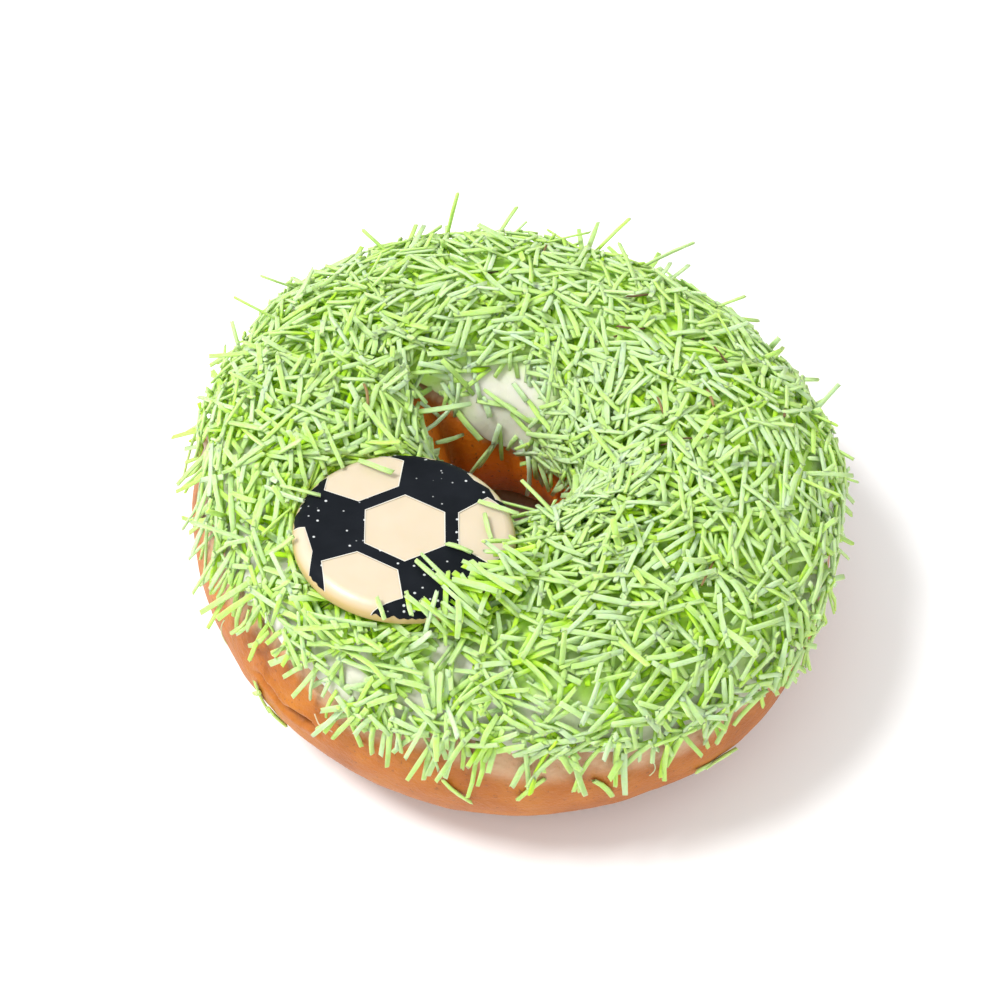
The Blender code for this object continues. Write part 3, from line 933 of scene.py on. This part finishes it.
def lay_over_disc(pile, draw):
    """The pile beside the disc spills over its near right side, and single shreds lie across it."""
    pile.close_disc()
    place = disc_frame()
    for number in range(OVER_DISC_TRIALS):
        turn = radians(draw.triangular(-84, -8, -44))
        away = DISC_RADIUS + draw.uniform(-1.6, 2.8) * MM
        if number % 9 == 8:
            turn = radians(draw.uniform(95, 190))
            away = DISC_RADIUS + draw.uniform(1.6, 3.4) * MM
        flat = Vector((away * cos(turn), away * sin(turn), 0))
        theta, phi, _ = locate(place @ flat)
        inward = -(place.to_3x3() @ flat).normalized()
        round_way, down, _ = tangents(theta, phi)
        heading = atan2(inward.dot(round_way), inward.dot(down)) + draw.gauss(0, 0.6)
        length = draw.triangular(4.5 * MM, 8.0 * MM, 6.0 * MM)
        shade = clamp(draw.gauss(0.72, 0.10))
        rest_strand(pile, draw, theta, phi, heading, length, shade, on_disc=True)
    for x0, y0, x1, y1 in ACROSS_DISC:
        start = Vector((x0 * MM, y0 * MM, (0.35 + 0.3 * draw.random()) * MM))
        end = Vector((x1 * MM, y1 * MM, (0.35 + 0.5 * draw.random()) * MM))
        along = (end - start).normalized()
        normal = face_normal(draw, along, Vector((0, 0, 1)), 0.3)
        points, normals = bent_line(draw, (start + end) / 2, along, normal, (end - start).length, 0.02)
        points = [place @ point for point in points]
        normals = [place.to_3x3() @ n for n in normals]
        pile.lay(points, normals, draw.uniform(*STRAND_WIDTHS), 0.75)


def sunk(pile, point):
    """How deep in the pile a point lies: 0 at the top, 1 from DEEPEST down."""
    theta, phi, height = locate(point)
    return clamp((pile.height[cell(theta, phi)] - height - STRAND_THICKNESS) / DEEPEST)


def strands_object(name, pile, strands, draw):
    """One mesh of closed strips, with a shade on every point that falls with its depth in the pile: painted
    shade on top of each strand's own tone.
    """
    points, faces, shades = [], [], []
    sides = len(STRAND_SECTION)
    for strand in strands:
        first = len(points)
        count = len(strand.points)
        jag = [draw.uniform(0.86, 1.08) for _ in range(count)]
        jag[0] *= draw.uniform(0.78, 1.0)
        jag[-1] *= draw.uniform(0.78, 1.0)
        for step in range(count):
            before = strand.points[max(0, step - 1)]
            after = strand.points[min(count - 1, step + 1)]
            along = (after - before).normalized()
            side = strand.normals[step].cross(along).normalized()
            normal = along.cross(side)
            half = side * (strand.width / 2 * jag[step])
            thick = normal * (strand.thickness / 2)
            middle = strand.points[step] + side * draw.uniform(-0.05, 0.05) * MM
            for a, b in STRAND_SECTION:
                ragged = along * draw.uniform(-0.24, 0.24) * MM if step in (0, count - 1) else Vector()
                points.append(middle + half * a + thick * b * draw.uniform(0.8, 1.1) + ragged)
            # Painted shade: deeper points get a lower shade, a deeper and more saturated green, standing in
            # for the light that comes through the shreds above
            shades.extend([strand.shade - 0.6 * sunk(pile, strand.points[step])] * sides)
        for step in range(count - 1):
            here, there = first + sides * step, first + sides * (step + 1)
            for k in range(sides):
                after = (k + 1) % sides
                faces.append((here + k, here + after, there + after, there + k))
        last = first + sides * (count - 1)
        faces.append([first + k for k in reversed(range(sides))])
        faces.append([last + k for k in range(sides)])
    return mesh_object(name, points, faces, {"shade": shades})


TOASTED_COUNT = 17


def toasted_strands(pile, draw):
    """Thin brown bits among the shreds, most of them on the back right."""
    found = []
    for theta, phi in spread_spots(3 * TOASTED_COUNT, 0.3, 0.85, 20000):
        if draw.random() > bell_at(theta, 35, 60) + 0.12:
            continue
        round_way, down, out = tangents(theta, phi)
        heading = draw.uniform(-pi, pi)
        along = (cos(heading) * down + sin(heading) * round_way + 0.25 * out).normalized()
        normal = (out - along * out.dot(along)).normalized()
        length = draw.uniform(2.0, 4.6) * MM
        root = skin_point(theta, phi, pile.height[cell(theta, phi)] - 0.6 * MM)
        middle = root + along * length / 2
        points, normals = bent_line(draw, middle, along, normal, length, draw.gauss(0, 0.06))
        if allowed(points):
            found.append(Strand(points, normals, draw.uniform(0.2, 0.45) * MM, 0.25 * MM, draw.random()))
    return found


def make_shreds():
    draw = random.Random(11)
    pile = Pile()
    lay_pile(pile, draw)
    lay_stuck(pile, draw)
    lay_fringe(pile, draw)
    lay_proud(pile, draw)
    lay_at_hole(pile, draw)
    lay_over_disc(pile, draw)
    lay_cad_shreds(pile, draw)
    shreds = strands_object("green_shreds", pile, pile.strands, draw)
    shreds.data.materials.append(shred_material())
    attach(shreds, "root")
    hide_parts("icing")
    toasted = strands_object("toasted_bits", pile, toasted_strands(pile, draw), draw)
    toasted.data.materials.append(toasted_material())
    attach(toasted, "root")


# Football disc


def ball_corners():
    """The twelve pentagon middles of a football seen with a hexagon in front."""
    near = acos(sqrt((5 + 2 * sqrt(5)) / 15))
    far = acos(sqrt((5 - 2 * sqrt(5)) / 15))
    found = []
    for lean, first in ((near, 60), (far, 0), (pi - far, 60), (pi - near, 0)):
        for turn in (first, first + 120, first + 240):
            angle = radians(turn)
            flat = sin(lean)
            found.append(Vector((flat * cos(angle), flat * sin(angle), cos(lean))))
    return found


def ball_panels(least_lean, share):
    """Outlines of the hexagon panels on the front of the ball, in the disc's plane."""
    neighbour = 1 / sqrt(5)
    for corners in itertools.combinations(ball_corners(), 3):
        touching = all(abs(a.dot(b) - neighbour) < 0.01 for a, b in itertools.combinations(corners, 2))
        middle = sum(corners, Vector()).normalized()
        if not touching or middle.z < least_lean:
            continue
        outline = []
        for a, b in itertools.permutations(corners, 2):
            outline.append(middle.lerp((2 * a + b).normalized(), share) * BALL_RADIUS)
        around = Vector((middle.x, middle.y, 0)) * BALL_RADIUS
        outline.sort(key=lambda p: atan2(p.y - around.y, p.x - around.x))
        yield outline


def pale_panels(share):
    """The four whole panels and the slivers of others at the rim."""
    yield from ball_panels(0.7, share)
    for corners in RIM_PANELS:
        outline = [Vector((x, y, 0)) * MM for x, y in corners]
        middle = sum(outline, Vector()) / len(outline)
        yield [middle + (point - middle) * (share / PANEL_SHARE) for point in outline]


def prisms(name, outlines, low, high):
    """Upright blocks over the outlines, to cut with."""
    made = []
    for number, outline in enumerate(outlines):
        bm = bmesh.new()
        face = bm.faces.new([bm.verts.new((p.x, p.y, low)) for p in outline])
        raised = bmesh.ops.extrude_face_region(bm, geom=[face])["geom"]
        corners = [v for v in raised if isinstance(v, bmesh.types.BMVert)]
        bmesh.ops.translate(bm, vec=(0, 0, high - low), verts=corners)
        bmesh.ops.recalc_face_normals(bm, faces=bm.faces)
        mesh = bpy.data.meshes.new(name)
        bm.to_mesh(mesh)
        bm.free()
        made.append(link(f"{name}_{number}", mesh))
    return made


def turned(name, profiles):
    """A solid about Z from closed half sections, one a segment, that start and end on the axis."""
    points = [Vector((0, 0, profiles[0][0][1]))]
    for segment, profile in enumerate(profiles):
        angle = tau * segment / len(profiles)
        for radius, height in profile[1:-1]:
            points.append(Vector((radius * cos(angle), radius * sin(angle), height)))
    points.append(Vector((0, 0, profiles[0][-1][1])))
    rings = len(profiles[0]) - 2
    faces = []
    for segment in range(len(profiles)):
        here, there = 1 + segment * rings, 1 + (segment + 1) % len(profiles) * rings
        faces.append((0, here, there))
        for ring in range(rings - 1):
            faces.append((here + ring, here + ring + 1, there + ring + 1, there + ring))
        faces.append((here + rings - 1, len(points) - 1, there + rings - 1))
    return mesh_object(name, points, faces)


def cut(item, operation, cutters):
    for cutter in cutters:
        less = item.modifiers.new(cutter.name, "BOOLEAN")
        less.operation = operation
        less.object = cutter
    graph = bpy.context.evaluated_depsgraph_get()
    made = bpy.data.meshes.new_from_object(item.evaluated_get(graph))
    item.modifiers.clear()
    item.data = made
    for cutter in cutters:
        bpy.data.objects.remove(cutter)


def on_shoulder(turn, out=0.0):
    """Half section point of the disc's rounded shoulder: 90 degrees at the flat top, 0 at the rim."""
    angle = radians(turn)
    radius = DISC_RADIUS - SHOULDER_ACROSS + (SHOULDER_ACROSS + out) * cos(angle)
    return radius, -SHOULDER_DOWN + (SHOULDER_DOWN + out) * sin(angle)


def make_disc_body():
    profile = [(0, 0), (4 * MM, 0), (8 * MM, 0), (10.5 * MM, 0)]
    profile += [on_shoulder(turn) for turn in range(90, -1, -9)]
    low = -DISC_THICKNESS
    for turn in (0, 30, 60, 90):
        angle = radians(turn)
        profile.append((DISC_RADIUS - 0.5 * MM * (1 - cos(angle)), low + 0.5 * MM * (1 - sin(angle))))
    profile += [(7 * MM, low), (0, low)]
    body = turned("chocolate_disc", [profile] * 180)
    cut(body, "DIFFERENCE", prisms("window", pale_panels(INNER_SHARE), -0.08 * MM, 2 * MM))
    return body


def print_layer(name, height):
    """A thin layer over the top and part of the shoulder, with a ragged rim."""
    profiles = []
    for segment in range(360):
        angle = tau * segment / 360
        place = Vector((cos(angle), sin(angle), 0))
        edge = 30 + 18 * sin(angle) + 18 * noise.noise(place * 4.0)
        edge += 20 * noise.noise(place * 17.0 + Vector((4, 0, 0)))
        edge = min(64, max(4, edge))
        turns = [90 + (edge - 90) * step / 6 for step in range(7)]
        outside = [(0, height), (6 * MM, height)] + [on_shoulder(turn, height) for turn in turns]
        inside = [on_shoulder(turn, -0.05 * MM) for turn in reversed(turns)] + [(0, -0.05 * MM)]
        profiles.append(outside + inside)
    return turned(name, profiles)


def make_disc_print():
    """The black layer, open at the pale panels."""
    layer = print_layer("disc_print", PRINT_HEIGHT)
    cut(layer, "DIFFERENCE", prisms("gap", pale_panels(PANEL_SHARE), -3 * MM, 3 * MM))
    return layer


def make_panel_edges():
    """A thin pale edge round each panel."""
    edges = print_layer("panel_edges", PRINT_HEIGHT * 0.6)
    wide = prisms("wide", pale_panels(OUTER_SHARE), -3 * MM, 3 * MM)
    cut(wide[0], "UNION", wide[1:])
    cut(edges, "INTERSECT", wide[:1])
    cut(edges, "DIFFERENCE", prisms("narrow", pale_panels(INNER_SHARE), -3 * MM, 3 * MM))
    return edges


def place_on_disc(piece, material):
    piece.data.transform(disc_frame())
    piece.data.materials.clear()
    piece.data.materials.append(material)
    piece.data.shade_smooth()
    piece.data.set_sharp_from_angle(angle=SHARPEST)
    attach(piece, "root")
    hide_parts("football_disc")


def make_disc():
    place_on_disc(make_disc_body(), chocolate_material())
    place_on_disc(make_disc_print(), print_material())
    place_on_disc(make_panel_edges(), panel_edge_material())


# Materials


class Nodes:
    """Short ways to build a material's node tree."""

    def __init__(self, name):
        self.material = bpy.data.materials.new(name)
        self.material.use_nodes = True
        self.tree = self.material.node_tree
        self.shader = self.tree.nodes["Principled BSDF"]

    def feed(self, socket, value):
        """Links another node's output to the socket, or sets the number or colour on it."""
        if isinstance(value, bpy.types.NodeSocket):
            self.tree.links.new(value, socket)
        elif value is not None:
            socket.default_value = (*value, 1.0) if socket.type == "RGBA" else value

    def new(self, kind, inputs=None, **values):
        node = self.tree.nodes.new(kind)
        for key, value in values.items():
            setattr(node, key, value)
        for key, value in (inputs or {}).items():
            self.feed(node.inputs[key], value)
        return node

    def set(self, **values):
        for key, value in values.items():
            self.feed(self.shader.inputs[key.replace("_", " ")], value)

    def noise(self, scale, detail=3.0, rough=0.55):
        """A noise field with features this many metres across."""
        place = self.new("ShaderNodeTexCoord").outputs["Object"]
        inputs = {"Scale": 1 / scale, "Detail": detail, "Roughness": rough, "Vector": place}
        return self.new("ShaderNodeTexNoise", inputs).outputs["Fac"]

    def ramp(self, source, stops):
        node = self.new("ShaderNodeValToRGB", {"Fac": source})
        ramp = node.color_ramp
        while len(ramp.elements) < len(stops):
            ramp.elements.new(0.5)
        for element, (where, colour) in zip(ramp.elements, stops):
            element.position = where
            element.color = (*colour, 1.0)
        return node.outputs["Color"]

    def spread(self, source, low, high, to_low=0.0, to_high=1.0):
        inputs = {"Value": source, "From Min": low, "From Max": high, "To Min": to_low, "To Max": to_high}
        return self.new("ShaderNodeMapRange", inputs).outputs["Result"]

    def attribute(self, name):
        return self.new("ShaderNodeAttribute", attribute_name=name).outputs["Fac"]

    def math(self, operation, a, b):
        return self.new("ShaderNodeMath", {0: a, 1: b}, operation=operation).outputs["Value"]

    def times(self, a, b):
        return self.math("MULTIPLY", a, b)

    def mix(self, share, a, b):
        return self.new("ShaderNodeMix", {0: share, 6: a, 7: b}, data_type="RGBA").outputs[2]

    def bump(self, height, distance, strength, after=None):
        inputs = {"Height": height, "Distance": distance, "Strength": strength, "Normal": after}
        return self.new("ShaderNodeBump", inputs).outputs["Normal"]


def dough_material():
    n = Nodes("baked_dough")
    stops = [(0.32, (0.335, 0.087, 0.003)), (0.5, (0.43, 0.124, 0.004)), (0.7, (0.51, 0.172, 0.008))]
    blotch = n.ramp(n.noise(9 * MM, 4), stops)
    mottle = n.spread(n.noise(1.3 * MM, 3), 0.3, 0.75)
    base = n.mix(n.times(mottle, 0.4), blotch, (0.345, 0.102, 0.006))
    # Painted light: the wall of the hole is brightened to a saturated orange, standing in for light that does
    # not reach it
    base = n.mix(n.times(n.attribute("hole"), 0.9), base, (0.84, 0.205, 0.006))
    # Painted shade along with deeper crust: darker in the hole, in the creases and the fold and low on the
    # outer side
    baked = n.times(n.attribute("crust_shade"), n.spread(n.noise(3.2 * MM, 3), 0.2, 0.7, 0.7, 1.1))
    base = n.mix(n.math("MINIMUM", baked, 1.0), base, (0.20, 0.055, 0.006))
    speck = n.spread(n.noise(0.62 * MM, 1), 0.67, 0.73)
    base = n.mix(n.times(speck, 0.6), base, (0.20, 0.06, 0.010))
    glaze = n.times(n.attribute("glaze"), n.spread(n.noise(3.0 * MM, 2), 0.25, 0.6, 0.45, 1.0))
    base = n.mix(n.times(glaze, 0.85), base, (0.61, 0.40, 0.24))
    n.set(Base_Color=base, Roughness=n.spread(glaze, 0.0, 1.0, 0.52, 0.3), Specular_IOR_Level=0.4)
    n.set(Subsurface_Weight=0.12, Subsurface_Scale=0.0012, Subsurface_Radius=(1.0, 0.45, 0.15))
    pores = n.bump(n.noise(0.55 * MM, 3), 0.10 * MM, 0.6)
    n.set(Normal=n.bump(n.noise(2.2 * MM, 5, 0.65), 0.45 * MM, 0.7, pores))
    return n.material


def icing_material():
    n = Nodes("white_icing")
    tint = n.ramp(n.noise(4 * MM, 2), [(0.3, (0.62, 0.62, 0.50)), (0.7, (0.70, 0.67, 0.60))])
    # Painted light: the icing under the pile takes the shreds' deep green, the light that passes through them
    painted_green = n.times(n.attribute("painted_green"), n.spread(n.noise(3.2 * MM, 2), 0.3, 0.6, 0.55, 1.0))
    n.set(Base_Color=n.mix(painted_green, tint, (0.48, 0.82, 0.04)))
    n.set(Roughness=n.spread(n.noise(2 * MM, 2), 0.3, 0.7, 0.22, 0.4))
    n.set(Subsurface_Weight=0.35, Subsurface_Scale=0.0016, Subsurface_Radius=(1.0, 0.8, 0.5))
    n.set(Normal=n.bump(n.noise(1.4 * MM, 2), 0.12 * MM, 0.5))
    return n.material


def shred_material():
    """Painted light and shade: deep green at the bottom of the pile, for the light that comes through the
    shreds above, and pale at its top.
    """
    n = Nodes("green_shreds")
    stops = [(0.0, (0.43, 0.76, 0.012)), (0.35, (0.44, 0.71, 0.07))]
    stops += [(0.7, (0.455, 0.65, 0.235)), (1.0, (0.50, 0.65, 0.42))]
    shade = n.math("ADD", n.attribute("shade"), n.spread(n.noise(0.9 * MM, 2), 0.25, 0.75, -0.10, 0.10))
    n.set(Base_Color=n.ramp(shade, stops), Specular_IOR_Level=0.08)
    n.set(Roughness=n.spread(n.noise(1.2 * MM, 1), 0.3, 0.7, 0.58, 0.75))
    n.set(Subsurface_Weight=0.8, Subsurface_Scale=0.0008, Subsurface_Radius=(0.75, 0.65, 0.5))
    n.set(Normal=n.bump(n.noise(0.30 * MM, 2), 0.12 * MM, 0.9))
    return n.material


def toasted_material():
    n = Nodes("toasted_bits")
    stops = [(0.0, (0.08, 0.035, 0.012)), (1.0, (0.28, 0.17, 0.055))]
    n.set(Base_Color=n.ramp(n.attribute("shade"), stops), Roughness=0.55)
    n.set(Normal=n.bump(n.noise(0.4 * MM, 2), 0.05 * MM, 0.6))
    return n.material


def chocolate_material():
    """Cream, and deeper on the faces that look sideways."""
    n = Nodes("cream_chocolate")
    facing = n.new("ShaderNodeNewGeometry").outputs["Normal"]
    up = n.new("ShaderNodeSeparateXYZ", {"Vector": facing}).outputs["Z"]
    cream = n.ramp(n.noise(6 * MM, 2), [(0.3, (0.585, 0.49, 0.35)), (0.7, (0.615, 0.52, 0.39))])
    n.set(Base_Color=n.mix(n.spread(up, 0.9, 0.35), cream, (0.50, 0.36, 0.14)))
    n.set(Roughness=n.spread(n.noise(1.5 * MM, 2), 0.3, 0.7, 0.3, 0.42))
    n.set(Subsurface_Weight=0.3, Subsurface_Scale=0.0012, Subsurface_Radius=(1.0, 0.7, 0.35))
    n.set(Normal=n.bump(n.noise(2.5 * MM, 2), 0.08 * MM, 0.4))
    return n.material


def panel_edge_material():
    n = Nodes("pale_panel_edges")
    n.set(Base_Color=n.mix(n.noise(2 * MM, 2), (0.62, 0.60, 0.54), (0.80, 0.77, 0.68)), Roughness=0.45)
    return n.material


def print_material():
    """Nearly black, with a few pale specks."""
    n = Nodes("black_print")
    worn = n.ramp(n.noise(5 * MM, 3), [(0.3, (0.005, 0.0065, 0.009)), (0.75, (0.010, 0.012, 0.016))])
    place = n.new("ShaderNodeTexCoord").outputs["Object"]
    dots = n.new("ShaderNodeTexVoronoi", {"Scale": 1 / (1.05 * MM), "Vector": place})
    near = n.spread(dots.outputs["Distance"], 0.20, 0.13)
    chance = n.new("ShaderNodeSeparateColor", {"Color": dots.outputs["Color"]}).outputs["Red"]
    speck = n.times(n.times(near, n.spread(chance, 0.5, 0.52)), 0.75)
    n.set(Base_Color=n.mix(speck, worn, (0.75, 0.78, 0.78)), Specular_IOR_Level=0.06)
    n.set(Roughness=n.spread(n.noise(1.1 * MM, 2), 0.3, 0.7, 0.45, 0.6))
    n.set(Normal=n.bump(n.noise(0.8 * MM, 2), 0.03 * MM, 0.5))
    return n.material


# Loose threads: colour, radius in mm, and points as turn, angle and height in mm above the skin
FIBRE_PATH = ((-4, 92, 4.2), (-6, 96, 4.7), (-5, 101, 4.5), (-8, 105, 4.9), (-7, 109, 4.3))
LOOP_PATH = ((-125.5, 17, 0.5), (-124.0, 14, 1.0), (-123.0, 15.5, 1.1), (-121.5, 13, 0.5))
THREADS = (
    ("brown_fibre", (0.13, 0.05, 0.02), 0.12, FIBRE_PATH),
    ("pale_thread_1", (0.85, 0.72, 0.48), 0.09, LOOP_PATH),
    ("pale_thread_2", (0.72, 0.80, 0.45), 0.08, ((-66, 14, 0.6), (-65, 9, 0.9), (-66.5, 5, 0.5))),
    ("pale_thread_3", (0.72, 0.80, 0.45), 0.08, ((-150, 22, 1.6), (-151, 14, 1.9), (-149, 8, 0.9))),
)


def make_threads():
    for name, colour, radius, path in THREADS:
        curve = bpy.data.curves.new(name, "CURVE")
        curve.dimensions = "3D"
        curve.bevel_depth = radius * MM
        curve.bevel_resolution = 1
        curve.use_fill_caps = True
        spline = curve.splines.new("NURBS")
        spline.points.add(len(path) - 1)
        spline.use_endpoint_u = True
        spline.order_u = 3
        for point, (turn, angle, height) in zip(spline.points, path):
            point.co = (*skin_point(radians(turn), radians(angle), height * MM), 1)
        thread = link(name, curve)
        n = Nodes(name)
        n.set(Base_Color=n.mix(n.noise(1 * MM), colour, tuple(0.6 * c for c in colour)), Roughness=0.6)
        curve.materials.append(n.material)
        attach(thread, "root")


# Floor and light


WORLD_LIGHT = 0.88
AIM_HEIGHT = 0.01
FLOOR_SIZE, FLOOR_DROP = 6, 0.0002


def area_light(name, place, size, power):
    data = bpy.data.lights.new(name, "AREA")
    data.shape = "DISK"
    data.size = size
    data.energy = power
    light = link(name, data)
    light.location = place
    light.rotation_euler = (Vector((0, 0, AIM_HEIGHT)) - light.location).to_track_quat("-Z", "Y").to_euler()


def make_studio():
    bpy.ops.mesh.primitive_plane_add(size=FLOOR_SIZE, location=(0, 0, -FLOOR_DROP))
    floor = bpy.context.object
    floor.name = "floor"
    n = Nodes("floor_paper")
    n.set(Base_Color=n.mix(n.noise(0.4, 2), (0.93, 0.93, 0.93), (0.95, 0.95, 0.95)))
    n.set(Roughness=0.9, Specular_IOR_Level=0.0)
    floor.data.materials.append(n.material)
    world = bpy.data.worlds.new("studio")
    world.use_nodes = True
    background = world.node_tree.nodes["Background"]
    background.inputs["Color"].default_value = (1, 1, 1, 1)
    background.inputs["Strength"].default_value = WORLD_LIGHT
    SCENE.world = world
    area_light("key", (-0.42, -0.04, 0.78), 0.30, 7.0)
    area_light("fill", (-0.05, -0.74, 0.48), 0.5, 1.2)
    SCENE.view_settings.view_transform = "Standard"
    SCENE.view_settings.look = "None"
    SCENE.view_settings.exposure = 0.0


make_camera()
make_dough()
make_icing()
make_shreds()
make_disc()
make_threads()
make_studio()
